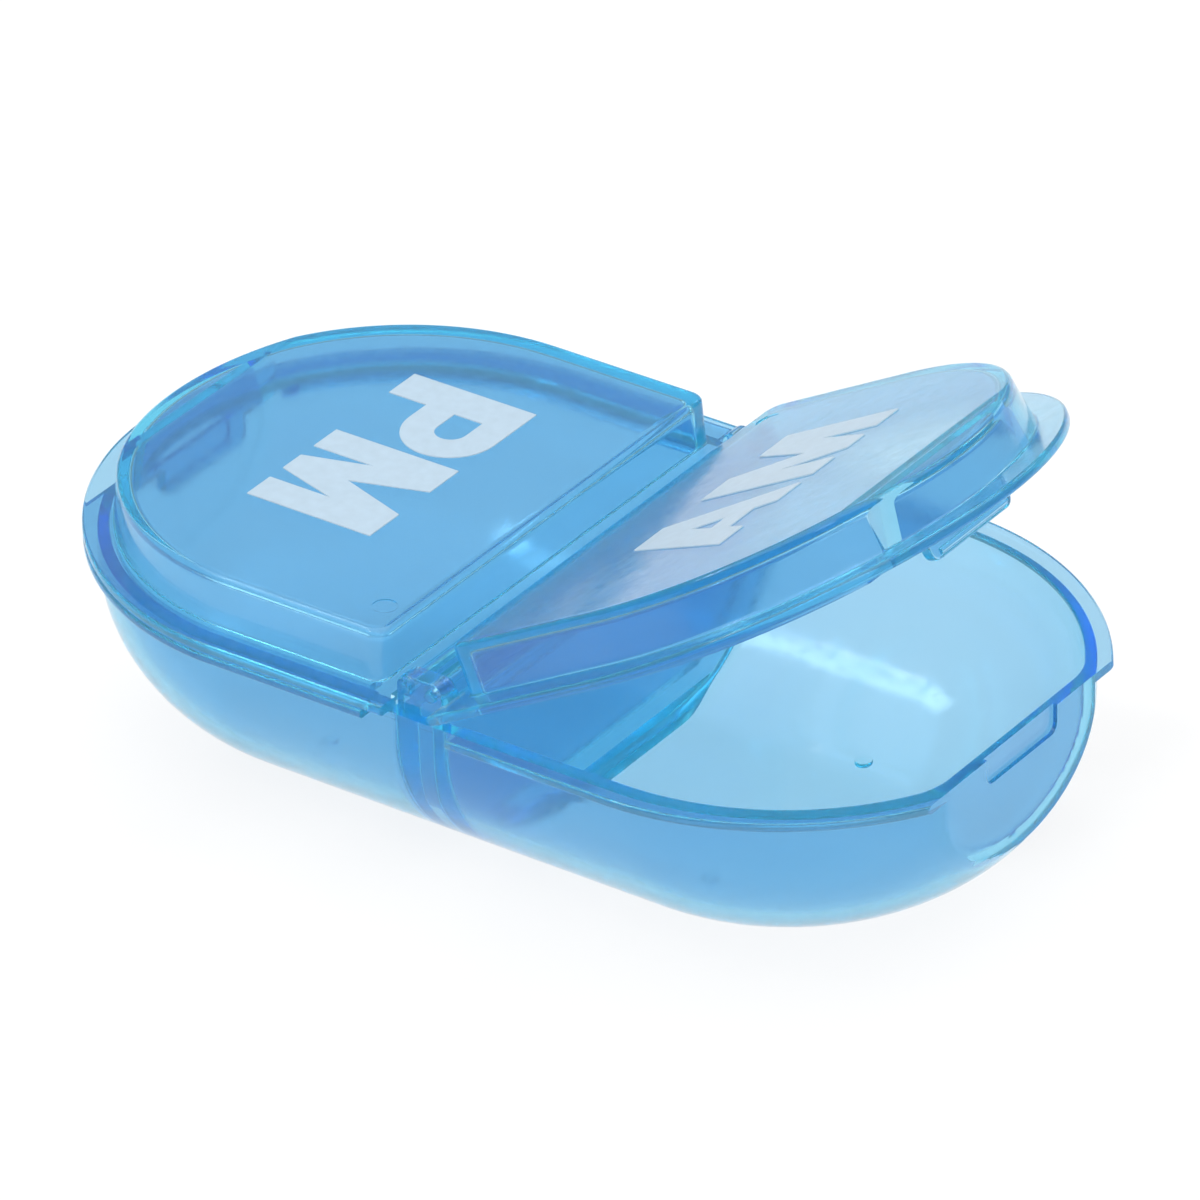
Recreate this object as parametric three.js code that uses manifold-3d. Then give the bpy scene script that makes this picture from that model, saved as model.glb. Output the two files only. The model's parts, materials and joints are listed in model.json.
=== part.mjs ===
// AM / PM pocket pill box: one tray with two compartments and two hinged lids.
// Millimetres, +Z up. Origin: middle of the flat underside. +X runs towards the AM end.

import * as THREE from 'three';
import { mergeVertices } from 'three/addons/utils/BufferGeometryUtils.js';
import Module from 'manifold-3d';

const wasm = await Module();
wasm.setup();

// ---------------------------------------------------------------- driving dimensions

// Plan: two round ends joined by a straight stretch. The flanges' ends are pulled in a
// little at the shoulders: an end roundness of 2 would be a true half circle.
const straightLength = 41.0;
const flangeRadius = 27.5;
const endRoundness = 1.92;

// Tray
const rimRadius = 25.8;
const wallThickness = 1.05;
const floorThickness = 1.2;
const baseRadius = 9.6;
const bowlHeight = 15.7;
const bowlRoundness = 1.86;
const trayHeight = 18.6;
const trayFlangeThickness = 0.85;
const endFlatInset = 4.2;
const dividerWidth = 4.6;
const dividerSlotWidth = 1.7;
const slotFloorHeight = 2.6;
const recessWidth = 10.6;
const recessDepth = 0.4;
const recessHeight = 2.6;
const recessCornerRadius = 0.9;
const pipSpacingX = 39.8;
const pipSpacingY = 23.4;
const pipRadius = 0.8;
const pipRise = 0.55;
const pipTaper = 0.8;

// Lids
const lidFlangeThickness = 0.95;
const lidHeight = 4.55;
const lidWall = 1.05;
const capFootStep = 3.15;
const capDraft = 0.35;
const capEdgeRadius = 0.7;
const capHingeX = 4.35;
const capHingeEdge = 0.5;
const capCornerRadius = 1.3;
const facetLength = 3.9;
const facetDrop = 0.55;
const lipThickness = 1.1;
const lipDepth = 0.8;
const latchWidth = 11.8;
const latchDepth = 2.6;
const latchThickness = 1.0;
const latchCornerRadius = 1.0;
const catchBite = 0.1;
const catchRadius = 0.3;
const catchSpacing = 0.96;

// Hinge
const hingeX = 1.25;
const hingeRise = 2.0;
const shelfInnerX = 2.2;
const barrelRadius = 0.7;
const pinRadius = 0.5;
const lugThickness = 2.0;
const lugWall = 0.5;
const lugSetIn = 0.85;

// Clearances
const lidSeatGap = 0.1;
const lipClearance = 0.25;
const pinClearance = 0.1;
const lugClearance = 0.35;
const pinOverhang = 0.4;
const sweepClearance = 0.25;
const latchClearance = 0.65;

// Printed legends
const legendHeight = 13.0;
const legendThickness = 0.1;
const legendTopX = 14.8;
const legendGap = 0.01;

// Resting pose: the AM lid stands part open, the PM lid is shut.
const amLidOpening = 28.9;

// Facets
const roundSegments = 48;
const bowlSteps = 9;
const edgeSteps = 4;
const letterSteps = 10;
const pinSegments = 20;
const beadSegments = 12;

// ---------------------------------------------------------------- derived sizes

const halfStraight = straightLength / 2;
const innerRadius = rimRadius - wallThickness;
const trayFlangeBottom = trayHeight - trayFlangeThickness;
const endFlatX = halfStraight + flangeRadius - endFlatInset;
const endWallInnerX = endFlatX - wallThickness;

const lidBottom = trayHeight + lidSeatGap;
const lidFlangeTop = lidBottom + lidFlangeThickness;
const lidTop = lidFlangeTop + lidHeight;
const capFootRadius = flangeRadius - capFootStep;
const capTopRadius = capFootRadius - capDraft;
const facetStartX = halfStraight + capTopRadius - facetLength;
const lipRadius = innerRadius - lipClearance;

const hingeZ = trayHeight + hingeRise;
const barrelFootX = hingeX - barrelRadius;
const sweepRadius = Math.hypot(barrelRadius, hingeZ - lidBottom);
const saddleHeight = hingeZ - sweepRadius - sweepClearance;
const lugHoleRadius = pinRadius + pinClearance;
const lugRadius = lugHoleRadius + lugWall;
const lugOuterY = rimRadius - lugSetIn;
const lugInnerY = lugOuterY - lugThickness;
const barrelHalfLength = lugInnerY - lugClearance;
const lugHalfWidth = hingeX + lugRadius;

const latchOuterX = endWallInnerX - latchClearance;
const latchInnerX = latchOuterX - latchThickness;
const latchBottom = lidBottom - latchDepth;
const latchBeadZ = latchBottom + 2 * catchRadius;
const catchRibZ = latchBeadZ + catchSpacing;
const catchRibReach = latchClearance + catchBite - catchRadius;

const reach = 2 * (halfStraight + flangeRadius);

// ---------------------------------------------------------------- solids from three.js geometry

// Turns a closed three.js geometry into a solid that can be joined and cut.
function solidFrom(geometry) {
  const bare = geometry.clone();
  bare.deleteAttribute('normal');
  bare.deleteAttribute('uv');
  const merged = mergeVertices(bare, 1e-5);
  const index = merged.index.array;
  const kept = [];
  for (let i = 0; i < index.length; i += 3) {
    const [a, b, c] = [index[i], index[i + 1], index[i + 2]];
    if (a !== b && b !== c && c !== a) kept.push(a, b, c);
  }
  return new wasm.Manifold(new wasm.Mesh({
    numProp: 3,
    vertProperties: new Float32Array(merged.attributes.position.array),
    triVerts: new Uint32Array(kept),
  }));
}

function geometryFrom(solid) {
  const mesh = solid.getMesh();
  const geometry = new THREE.BufferGeometry();
  geometry.setAttribute('position', new THREE.BufferAttribute(mesh.vertProperties, 3));
  geometry.setIndex(new THREE.BufferAttribute(mesh.triVerts, 1));
  geometry.computeVertexNormals();
  return geometry;
}

function union(first, ...others) {
  return others.reduce((sum, solid) => sum.add(solid), first);
}

// A block between two corners.
function block(x0, x1, y0, y1, z0, z1) {
  const geometry = new THREE.BoxGeometry(x1 - x0, y1 - y0, z1 - z0);
  geometry.translate((x0 + x1) / 2, (y0 + y1) / 2, (z0 + z1) / 2);
  return solidFrom(geometry);
}

// A round bar along Y.
function barAlongY(radius, x, z, y0, y1, segments = pinSegments) {
  const geometry = new THREE.CylinderGeometry(radius, radius, y1 - y0, segments);
  geometry.translate(x, (y0 + y1) / 2, z);
  return solidFrom(geometry);
}

// An outline drawn in the Y-Z plane, pushed out along X from x0 to x1.
function prismAlongX(shape, x0, x1) {
  const options = { depth: x1 - x0, bevelEnabled: false, curveSegments: edgeSteps };
  const geometry = new THREE.ExtrudeGeometry(shape, options);
  geometry.rotateX(Math.PI / 2);
  geometry.rotateZ(Math.PI / 2);
  geometry.translate(x0, 0, 0);
  return solidFrom(geometry);
}

// Pulls a turned surface in at its shoulders. A roundness of 2 leaves it as it is.
function shapeRoundEnd(lathe, roundness) {
  const position = lathe.attributes.position;
  for (let i = 0; i < position.count; i += 1) {
    const angle = Math.atan2(position.getY(i), position.getX(i));
    const across = Math.abs(Math.cos(angle)) ** roundness;
    const along = Math.abs(Math.sin(angle)) ** roundness;
    const pull = (across + along) ** (-1 / roundness);
    position.setXY(i, position.getX(i) * pull, position.getY(i) * pull);
  }
}

// A solid with the tray's plan: round ends joined by a straight stretch.
// profile is a list of [radius, height] that starts and ends on the axis, bottom first.
function stadium(profile, roundness = 2) {
  const lathe = new THREE.LatheGeometry(profile.map(([r, z]) => new THREE.Vector2(r, z)), roundSegments);
  lathe.rotateX(Math.PI / 2);
  shapeRoundEnd(lathe, roundness);
  const left = lathe.clone().translate(-halfStraight, 0, 0);
  const right = lathe.clone().translate(halfStraight, 0, 0);
  const across = profile.map(([r, z]) => new THREE.Vector2(r, z));
  const mirrored = profile.slice(1, -1).reverse().map(([r, z]) => new THREE.Vector2(-r, z));
  const middle = prismAlongX(new THREE.Shape([...across, ...mirrored]), -halfStraight, halfStraight);
  return union(solidFrom(left), solidFrom(right), middle);
}

// Points of the bowl's side, from the flat bottom up to the upright rim.
function bowlArc(flatRadius, width, bottom, height) {
  const points = [];
  for (let i = 0; i <= bowlSteps; i += 1) {
    const angle = (i / bowlSteps) * (Math.PI / 2);
    const outwards = Math.sin(angle) ** (2 / bowlRoundness);
    const downwards = Math.cos(angle) ** (2 / bowlRoundness);
    points.push([flatRadius + width * outwards, bottom + height * (1 - downwards)]);
  }
  return points;
}

// A quarter round from an upright side over to a flat top.
function topEdge(radius, top, edge) {
  const points = [];
  for (let i = 0; i <= edgeSteps; i += 1) {
    const angle = (i / edgeSteps) * (Math.PI / 2);
    points.push([radius - edge * (1 - Math.cos(angle)), top - edge * (1 - Math.sin(angle))]);
  }
  return points;
}

// A tab outline in the Y-Z plane with rounded lower corners.
function tabShape(halfWidth, bottom, top, corner) {
  const shape = new THREE.Shape();
  shape.moveTo(-halfWidth, top);
  shape.lineTo(-halfWidth, bottom + corner);
  shape.absarc(-halfWidth + corner, bottom + corner, corner, Math.PI, 1.5 * Math.PI, false);
  shape.lineTo(halfWidth - corner, bottom);
  shape.absarc(halfWidth - corner, bottom + corner, corner, 1.5 * Math.PI, 2 * Math.PI, false);
  shape.lineTo(halfWidth, top);
  shape.closePath();
  return shape;
}

// ---------------------------------------------------------------- tray

// Rounded lug on the rim that carries one pin of each lid; side is +1 (back) or -1 (front).
function hingeLug(side) {
  const y0 = Math.min(side * lugInnerY, side * lugOuterY);
  const y1 = Math.max(side * lugInnerY, side * lugOuterY);
  return union(
    barAlongY(lugRadius, -hingeX, hingeZ, y0, y1, 2 * pinSegments),
    barAlongY(lugRadius, hingeX, hingeZ, y0, y1, 2 * pinSegments),
    block(-hingeX, hingeX, y0, y1, hingeZ - lugRadius, hingeZ + lugRadius),
    block(-lugHalfWidth, lugHalfWidth, y0, y1, saddleHeight - lugThickness, hingeZ),
  );
}

function trayGeometry() {
  const bowl = stadium([
    [0, 0],
    ...bowlArc(baseRadius, rimRadius - baseRadius, 0, bowlHeight),
    [rimRadius, trayHeight],
    [0, trayHeight],
  ]);
  const flange = stadium([
    [0, trayFlangeBottom],
    [flangeRadius, trayFlangeBottom],
    [flangeRadius, trayHeight],
    [0, trayHeight],
  ], endRoundness);
  const cavity = stadium([
    [0, floorThickness],
    ...bowlArc(baseRadius, innerRadius - baseRadius, floorThickness, bowlHeight - floorThickness),
    [innerRadius, trayHeight + 1],
    [0, trayHeight + 1],
  ]).intersect(block(-endWallInnerX, endWallInnerX, -reach, reach, 0, reach));

  const halfDivider = dividerWidth / 2;
  const halfSlot = dividerSlotWidth / 2;
  const divider = block(-halfDivider, halfDivider, -reach, reach, -1, reach);
  const slot = block(-halfSlot, halfSlot, -lugInnerY, lugInnerY, slotFloorHeight, reach);

  let tray = bowl.add(flange).intersect(block(-endFlatX, endFlatX, -reach, reach, -1, reach));
  tray = tray.subtract(cavity.subtract(divider)).subtract(cavity.intersect(slot));

  // The rim is lower and has no flange where the lids turn.
  tray = tray.subtract(block(-capHingeX, capHingeX, -reach, reach, saddleHeight, reach));
  for (const side of [-1, 1]) {
    const y0 = Math.min(side * rimRadius, side * reach);
    const y1 = Math.max(side * rimRadius, side * reach);
    tray = tray.subtract(block(-capHingeX, capHingeX, y0, y1, trayFlangeBottom - 1, reach));
  }

  // Lugs, then their pin holes.
  for (const side of [-1, 1]) tray = tray.add(hingeLug(side));
  for (const x of [-hingeX, hingeX]) {
    tray = tray.subtract(barAlongY(lugHoleRadius, x, hingeZ, -rimRadius - 1, rimRadius + 1));
  }

  // Thumb recess outside each end wall, and the catch rib inside it.
  const recess = tabShape(recessWidth / 2, trayHeight - recessHeight, trayHeight + 1, recessCornerRadius);
  const catchHalf = latchWidth / 2 - latchCornerRadius;
  const ribX = endWallInnerX + catchRadius - catchRibReach;
  for (const end of [-1, 1]) {
    const x0 = end > 0 ? endFlatX - recessDepth : -endFlatX - 1;
    tray = tray.subtract(prismAlongX(recess, x0, x0 + recessDepth + 1));
    tray = tray.add(barAlongY(catchRadius, end * ribX, catchRibZ, -catchHalf, catchHalf, beadSegments));
  }

  // Four moulded pips on the floor.
  for (const x of [-pipSpacingX / 2, pipSpacingX / 2]) {
    for (const y of [-pipSpacingY / 2, pipSpacingY / 2]) {
      const pip = new THREE.CylinderGeometry(pipRadius * pipTaper, pipRadius, 2 * pipRise, pinSegments);
      pip.rotateX(Math.PI / 2);
      pip.translate(x, y, floorThickness + pipRise * 0.6);
      tray = tray.add(solidFrom(pip));
    }
  }
  return geometryFrom(tray);
}

// ---------------------------------------------------------------- lid

// Keeps what lies below the sloping facet at the far end of the cap.
function belowFacet(solid, lower) {
  const slope = Math.atan2(facetDrop, facetLength);
  const cutter = new THREE.BoxGeometry(reach, reach, reach);
  cutter.translate(reach / 2, 0, reach / 2);
  cutter.rotateY(slope);
  cutter.translate(facetStartX, 0, lidTop - lower);
  return solid.subtract(solidFrom(cutter));
}

// Cuts the two upright corners at the hinge side of the cap to a radius.
function hingeCorners(radiusAtFoot, x, corner) {
  const outline = new THREE.Shape();
  outline.moveTo(x, -radiusAtFoot + corner);
  outline.absarc(x + corner, -radiusAtFoot + corner, corner, Math.PI, 1.5 * Math.PI, false);
  outline.lineTo(reach, -radiusAtFoot);
  outline.lineTo(reach, radiusAtFoot);
  outline.lineTo(x + corner, radiusAtFoot);
  outline.absarc(x + corner, radiusAtFoot - corner, corner, 0.5 * Math.PI, Math.PI, false);
  outline.closePath();
  const options = { depth: reach, bevelEnabled: false, curveSegments: edgeSteps };
  const geometry = new THREE.ExtrudeGeometry(outline, options);
  return solidFrom(geometry);
}

// Wedge that bevels the cap's top edge at the hinge side.
function hingeEdgeCutter() {
  const side = 2 * capHingeEdge / Math.SQRT2;
  const geometry = new THREE.BoxGeometry(side, reach, side);
  geometry.rotateY(Math.PI / 4);
  geometry.translate(capHingeX, 0, lidTop);
  return solidFrom(geometry);
}

// A lid in its shut place on the +X side. The other lid is the same piece turned half round.
function lidGeometry() {
  const flange = stadium([
    [0, lidBottom],
    [flangeRadius, lidBottom],
    [flangeRadius, lidFlangeTop],
    [0, lidFlangeTop],
  ], endRoundness).intersect(block(shelfInnerX, reach, -reach, reach, 0, reach));

  const cap = belowFacet(stadium([
    [0, lidBottom],
    [capFootRadius, lidBottom],
    ...topEdge(capTopRadius, lidTop, capEdgeRadius),
    [0, lidTop],
  ]), 0).intersect(hingeCorners(capFootRadius, capHingeX, capCornerRadius)).subtract(hingeEdgeCutter());

  const hollowCorners = hingeCorners(
    capFootRadius - lidWall,
    capHingeX + lidWall,
    capCornerRadius - lidWall / 2,
  );
  const hollow = belowFacet(stadium([
    [0, lidBottom - 1],
    [capFootRadius - lidWall, lidBottom - 1],
    [capTopRadius - lidWall, lidTop - lidWall],
    [0, lidTop - lidWall],
  ]), lidWall).intersect(hollowCorners);

  // Short lip that drops inside the rim and centres the lid.
  const lip = stadium([
    [0, lidBottom - lipDepth],
    [lipRadius, lidBottom - lipDepth],
    [lipRadius, lidBottom + lidFlangeThickness / 2],
    [0, lidBottom + lidFlangeThickness / 2],
  ]).intersect(block(capHingeX + lidWall, latchInnerX, -reach, reach, 0, reach));
  const lipHollow = stadium([
    [0, lidBottom - lipDepth - 1],
    [lipRadius - lipThickness, lidBottom - lipDepth - 1],
    [lipRadius - lipThickness, lidFlangeTop],
    [0, lidFlangeTop],
  ]);

  // Upright web across the far end; its middle runs on down as the latch tongue.
  const web = block(latchInnerX, latchOuterX, -reach, reach, lidBottom, reach).intersect(cap);
  const tongueTop = lidTop - lidWall - facetDrop / 2;
  const tongueShape = tabShape(latchWidth / 2, latchBottom, tongueTop, latchCornerRadius);
  const tongue = prismAlongX(tongueShape, latchInnerX, latchOuterX);
  const beadHalf = latchWidth / 2 - latchCornerRadius;
  const bead = barAlongY(catchRadius, latchOuterX, latchBeadZ, -beadHalf, beadHalf, beadSegments);

  // Hinge bar on the shelf beside the cap, with a pin at each end.
  const barrel = union(
    barAlongY(barrelRadius, hingeX, hingeZ, -barrelHalfLength, barrelHalfLength, 2 * pinSegments),
    block(barrelFootX, shelfInnerX + 0.5, -barrelHalfLength, barrelHalfLength, lidBottom, lidFlangeTop),
    block(barrelFootX, hingeX + barrelRadius, -barrelHalfLength, barrelHalfLength, lidBottom, hingeZ),
  );
  const pinEnd = lugOuterY + pinOverhang;
  const pin = barAlongY(pinRadius, hingeX, hingeZ, -pinEnd, pinEnd);

  let lid = flange.add(cap).subtract(hollow).add(lip.subtract(lipHollow));
  lid = union(lid, web, tongue, bead);

  // Room around the lugs, left clear before the hinge bar goes on.
  const roomX = lugHalfWidth + lugClearance;
  for (const side of [-1, 1]) {
    const a = side * (lugInnerY - lugClearance);
    const b = side * (lugOuterY + lugClearance);
    lid = lid.subtract(block(0, roomX, Math.min(a, b), Math.max(a, b), 0, lidFlangeTop + 1));
  }
  return geometryFrom(union(lid, barrel, pin));
}

// ---------------------------------------------------------------- printed legends

// Plain block letters, drawn from the lower left corner, one legend height tall.
const letterP = () => {
  const width = 10.8;
  const stem = 3.8;
  const bowlRadius = 4.5;
  const counterRadius = 1.5;
  const middle = legendHeight - bowlRadius;
  const shape = new THREE.Shape();
  shape.moveTo(0, 0);
  shape.lineTo(stem, 0);
  shape.lineTo(stem, middle - bowlRadius);
  shape.lineTo(width - bowlRadius, middle - bowlRadius);
  shape.absarc(width - bowlRadius, middle, bowlRadius, -Math.PI / 2, Math.PI / 2, false);
  shape.lineTo(0, legendHeight);
  shape.closePath();
  const counter = new THREE.Path();
  counter.moveTo(stem, middle - counterRadius);
  counter.lineTo(stem, middle + counterRadius);
  counter.lineTo(width - bowlRadius, middle + counterRadius);
  counter.absarc(width - bowlRadius, middle, counterRadius, Math.PI / 2, -Math.PI / 2, true);
  counter.closePath();
  shape.holes.push(counter);
  return shape;
};

const letterM = () => {
  const width = 12.9;
  const leg = 3.3;
  const shoulder = 4.2;
  const notch = 6.4;
  const foot = 1.3;
  return new THREE.Shape([
    new THREE.Vector2(0, 0),
    new THREE.Vector2(leg, 0),
    new THREE.Vector2(leg, notch),
    new THREE.Vector2(width / 2 - foot, 0),
    new THREE.Vector2(width / 2 + foot, 0),
    new THREE.Vector2(width - leg, notch),
    new THREE.Vector2(width - leg, 0),
    new THREE.Vector2(width, 0),
    new THREE.Vector2(width, legendHeight),
    new THREE.Vector2(width - shoulder, legendHeight),
    new THREE.Vector2(width / 2, notch - 0.5),
    new THREE.Vector2(shoulder, legendHeight),
    new THREE.Vector2(0, legendHeight),
  ]);
};

const letterA = () => {
  const width = 12.0;
  const flat = 4.3;
  const leg = 3.5;
  const barBottom = 2.2;
  const barTop = 4.8;
  const slant = (width - flat) / 2 / legendHeight;
  const shape = new THREE.Shape([
    new THREE.Vector2(0, 0),
    new THREE.Vector2(leg, 0),
    new THREE.Vector2(leg + slant * barBottom, barBottom),
    new THREE.Vector2(width - leg - slant * barBottom, barBottom),
    new THREE.Vector2(width - leg, 0),
    new THREE.Vector2(width, 0),
    new THREE.Vector2((width + flat) / 2, legendHeight),
    new THREE.Vector2((width - flat) / 2, legendHeight),
  ]);
  const inset = leg + slant * barTop;
  const apex = barTop + (width / 2 - inset) / slant * 0.9;
  shape.holes.push(new THREE.Path([
    new THREE.Vector2(inset, barTop),
    new THREE.Vector2(width / 2, Math.min(apex, legendHeight - leg)),
    new THREE.Vector2(width - inset, barTop),
  ]));
  return shape;
};

// A letter as a thin film on the +X lid, reading along +Y with its top towards the hinge.
function legendGeometry(shape, startY) {
  const options = { depth: legendThickness, bevelEnabled: false, curveSegments: letterSteps };
  const geometry = new THREE.ExtrudeGeometry(shape, options);
  geometry.rotateZ(Math.PI / 2);
  geometry.translate(legendTopX + legendHeight, startY, lidTop + legendGap);
  return geometryFrom(solidFrom(geometry));
}

// ---------------------------------------------------------------- materials and assembly

const skyBlue = () => new THREE.MeshStandardMaterial({ color: 0x4fa8dc, roughness: 0.15, metalness: 0 });
const whiteInk = () => new THREE.MeshStandardMaterial({ color: 0xe4edf5, roughness: 0.5, metalness: 0 });

function part(name, geometry, material) {
  const mesh = new THREE.Mesh(geometry, material);
  mesh.name = name;
  return mesh;
}

// Both lids are built shut on the +X side about their own hinge line.
function lidGroup(letters, lidName) {
  const group = new THREE.Group();
  const pieces = [part(lidName, lidGeometry(), skyBlue())];
  for (const [name, shape, startY] of letters) {
    pieces.push(part(name, legendGeometry(shape, startY), whiteInk()));
  }
  for (const piece of pieces) {
    piece.geometry.translate(-hingeX, 0, -hingeZ);
    group.add(piece);
  }
  return group;
}

const amLid = lidGroup([
  ['am_legend_a', letterA(), -13.4],
  ['am_legend_m', letterM(), 0.3],
], 'am_lid');
amLid.position.set(hingeX, 0, hingeZ);
amLid.rotation.y = -THREE.MathUtils.degToRad(amLidOpening);

const pmLid = lidGroup([
  ['pm_legend_p', letterP(), -12.9],
  ['pm_legend_m', letterM(), -1.4],
], 'pm_lid');
pmLid.position.set(-hingeX, 0, hingeZ);
pmLid.rotation.z = Math.PI;

const pillBox = new THREE.Group();
pillBox.add(part('tray', trayGeometry(), skyBlue()));
pillBox.add(pmLid);
pillBox.add(amLid);

export default pillBox;
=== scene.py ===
"""Two-compartment pocket pill box in translucent blue plastic, laid out as a Blender add-on."""

import json
import math

import bmesh
import bpy
import numpy as np
from mathutils import Matrix, Vector


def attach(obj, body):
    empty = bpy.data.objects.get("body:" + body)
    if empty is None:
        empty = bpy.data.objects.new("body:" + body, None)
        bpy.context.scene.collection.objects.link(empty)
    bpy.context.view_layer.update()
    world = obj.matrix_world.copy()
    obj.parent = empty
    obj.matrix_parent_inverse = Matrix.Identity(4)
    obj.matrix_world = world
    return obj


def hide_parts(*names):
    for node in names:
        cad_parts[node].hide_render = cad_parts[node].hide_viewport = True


bl_info = {
    "name": "Pocket pill box",
    "version": (1, 0, 0),
    "blender": (4, 5, 0),
    "location": "View3D > Sidebar > Pill box",
    "description": "Builds a round-ended pill box with two hinged lids, its printed letters and a studio",
    "category": "Add Mesh",
}

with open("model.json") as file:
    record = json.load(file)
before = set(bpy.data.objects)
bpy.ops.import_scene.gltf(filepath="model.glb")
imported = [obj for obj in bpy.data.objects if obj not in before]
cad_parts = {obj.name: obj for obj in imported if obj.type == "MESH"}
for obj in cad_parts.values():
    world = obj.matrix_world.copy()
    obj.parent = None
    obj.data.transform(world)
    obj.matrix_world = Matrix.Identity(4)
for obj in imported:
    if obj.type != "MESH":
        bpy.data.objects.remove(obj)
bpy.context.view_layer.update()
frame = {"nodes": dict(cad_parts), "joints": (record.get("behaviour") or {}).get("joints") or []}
AM_HINGE = {joint["name"]: joint for joint in frame["joints"]}["am_lid_hinge"]
HINGE_X, HINGE_Z = AM_HINGE["pos_m"][0], AM_HINGE["pos_m"][2]
AM_OPENING = math.radians(-AM_HINGE["range_deg"][0])
# Points round a ring and round a sweep, for chords under a millimetre.
RING_POINTS = 288
SWEEP_POINTS = 224
# Past every edge of the box, in millimetres, for blocks that cut.
FAR = 80.0


# ---------------------------------------------------------------- settings


def length(name, millimetres, description):
    """A length property; its default is given in millimetres."""
    default = millimetres / 1000
    return bpy.props.FloatProperty(
        name=name, description=description, default=default, min=0, precision=5, unit="LENGTH"
    )


def power(name, default, description):
    """The power of a rounded curve; 2 is a circle's."""
    return bpy.props.FloatProperty(name=name, description=description, default=default, min=1, max=4)


def colour(name, hex_value, description):
    """A colour property; its default is given as an sRGB hex value."""
    default = linear(hex_value)
    return bpy.props.FloatVectorProperty(
        name=name, description=description, default=default, min=0, max=1, size=3, subtype="COLOR"
    )


def linear(hex_value):
    """Turns an sRGB hex value such as "4FA8DC" into linear red, green and blue."""
    channels = [int(hex_value[i : i + 2], 16) / 255 for i in (0, 2, 4)]
    return [c / 12.92 if c <= 0.04045 else ((c + 0.055) / 1.055) ** 2.4 for c in channels]


class PillBoxPlan(bpy.types.PropertyGroup):
    """Sizes that the tray and the lids share."""

    straight_length: length("Straight length", 41.0, "Stretch between the centres of the round ends")
    flange_radius: length("Flange radius", 27.5, "Radius of the round ends, out to the flanges' edge")
    end_roundness: power("End roundness", 1.92, "2 makes the flanges' ends true half circles")
    tray_height: length("Tray height", 18.6, "Height of the tray's rim above its underside")
    wall: length("Wall", 1.05, "Thickness of the moulded walls")
    inner_radius: length("Inner radius", 24.75, "Inside radius of the tray's round ends at the rim")


class PillBoxTray(bpy.types.PropertyGroup):
    """Sizes of the tray."""

    floor: length("Floor", 1.2, "Thickness of the floor")
    base_radius: length("Base radius", 9.6, "Round-end radius of the flat underside")
    bowl_height: length("Bowl height", 15.7, "Height at which the curved side turns upright")
    bowl_roundness: power("Bowl roundness", 1.86, "Power of the curve from the base up to the side")
    flange: length("Flange", 0.85, "Thickness of the rim flange")
    end_inset: length("End inset", 4.2, "How far the flat end walls stand in from the round outline")
    divider: length("Divider", 4.6, "Width over both walls of the divider")
    slot: length("Slot", 1.7, "Gap between the divider's two walls")
    slot_floor: length("Slot floor", 2.6, "Height of the bottom of the slot")
    recess_width: length("Recess width", 10.6, "Width of the thumb recess in each end wall")
    recess_depth: length("Recess depth", 0.4, "Depth of the thumb recess")
    recess_height: length("Recess height", 2.6, "Height of the thumb recess below the rim")
    lug_inner: length("Lug inner face", 22.95, "Distance of the hinge lugs' inner faces from the middle")
    lug_outer: length("Lug outer face", 24.95, "Distance of the hinge lugs' outer faces from the middle")
    lug_radius: length("Lug radius", 1.1, "Outside radius of the hinge lugs about the pins")
    pin_hole: length("Pin hole radius", 0.6, "Radius of the pin holes")


class PillBoxLid(bpy.types.PropertyGroup):
    """Sizes of a lid."""

    seat: length("Seat gap", 0.1, "Gap between the tray's rim and a shut lid's flange")
    flange: length("Flange", 0.95, "Thickness of the lid's flange")
    rise: length("Rise", 4.55, "Height of the raised cap above the flange")
    foot_radius: length("Cap foot radius", 24.35, "Round-end radius of the cap where it meets the flange")
    draft: length("Cap draft", 0.35, "How much the cap narrows towards its top")
    edge: length("Cap edge", 0.5, "Radius of the cap's upper edge")
    hinge_wall: length("Hinge wall", 4.35, "Distance of the cap's hinge-side wall from the middle of the box")
    shelf: length("Shelf", 2.2, "Where the flange ends at the hinge side")
    facet: length("Facet", 3.9, "Length of the sloping facet at the far end of the cap")
    facet_drop: length("Facet drop", 0.55, "How far the facet falls by the tip")
    lip: length("Lip", 1.1, "Thickness of the locating lip")
    lip_depth: length("Lip depth", 0.8, "How far the lip drops inside the rim")
    tongue_width: length("Tongue width", 11.8, "Width of the latch tongue")
    tongue_depth: length("Tongue depth", 2.6, "How far the tongue hangs below the flange")
    barrel: length("Barrel radius", 0.7, "Radius of the hinge bar along the lid's edge")
    pin: length("Pin radius", 0.5, "Radius of the hinge pins")


class PillBoxFinish(bpy.types.PropertyGroup):
    """Colours of the plastic, the ink and the studio."""

    plastic: colour("Plastic", "B8D8F3", "Tint of the plastic's surface")
    depth: colour("Depth tint", "00F9FF", "Colour that light takes on inside the plastic")
    ink: colour("Ink", "D0E4F2", "Colour of the printed letters")
    floor: colour("Floor", "F6F6F6", "Colour of the studio floor")


SETTINGS = {
    "pill_box_plan": PillBoxPlan,
    "pill_box_tray": PillBoxTray,
    "pill_box_lid": PillBoxLid,
    "pill_box_finish": PillBoxFinish,
}


class Millimetres:
    """Reads a group of length properties as millimetres, and other numbers as they are."""

    def __init__(self, group):
        for key, value in group.bl_rna.properties.items():
            if value.type == "FLOAT":
                number = getattr(group, key)
                setattr(self, key, number * 1000 if value.unit == "LENGTH" else number)


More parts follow.
